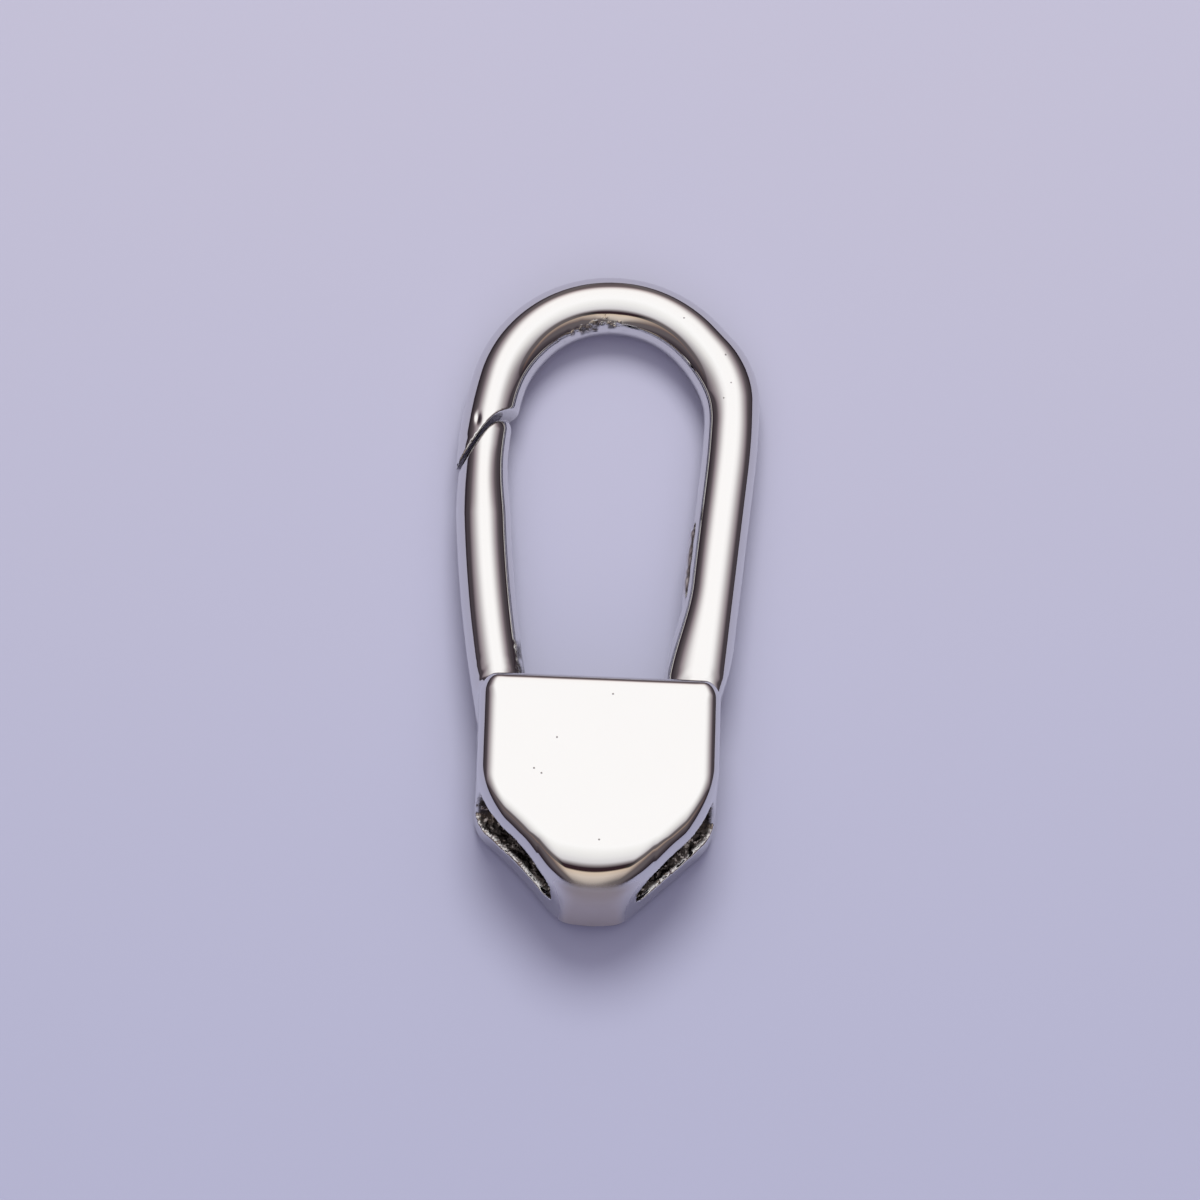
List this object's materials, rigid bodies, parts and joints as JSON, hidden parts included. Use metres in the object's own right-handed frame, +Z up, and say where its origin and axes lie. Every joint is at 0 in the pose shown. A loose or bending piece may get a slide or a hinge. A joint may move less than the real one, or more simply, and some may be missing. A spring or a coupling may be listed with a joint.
{
  "type": "push clasp",
  "caption": "Oval push clasp: a round-bar loop with a sprung inward gate, on a home-plate block with a side passage for a chain's link.",
  "frame": {"origin": "on the surface the clasp lies on, below the middle of its outline", "axes": "+Z up from the surface, +Y along the loop from the block to the arch, +X from the gate's side to the fixed side"},
  "size_m": [0.0106, 0.0234, 0.0044],
  "materials": {
    "polished_metal": "mirror polished plating",
    "pin_metal": "plain turned metal"
  },
  "bodies": {
    "frame": {"frame": "polished_metal", "hinge_pin": "pin_metal"},
    "gate": {"gate": "polished_metal"}
  },
  "joints": [
    {"name": "gate_hinge", "type": "hinge", "parent": "frame", "child": "gate", "pos_m": [-0.00335, -0.00449, 0.00204], "axis": [0, -0.0712, -0.9975], "range_deg": [0, 28], "stiffness_Nm_per_rad": 0.01, "springref_deg": -14.32}
  ]
}
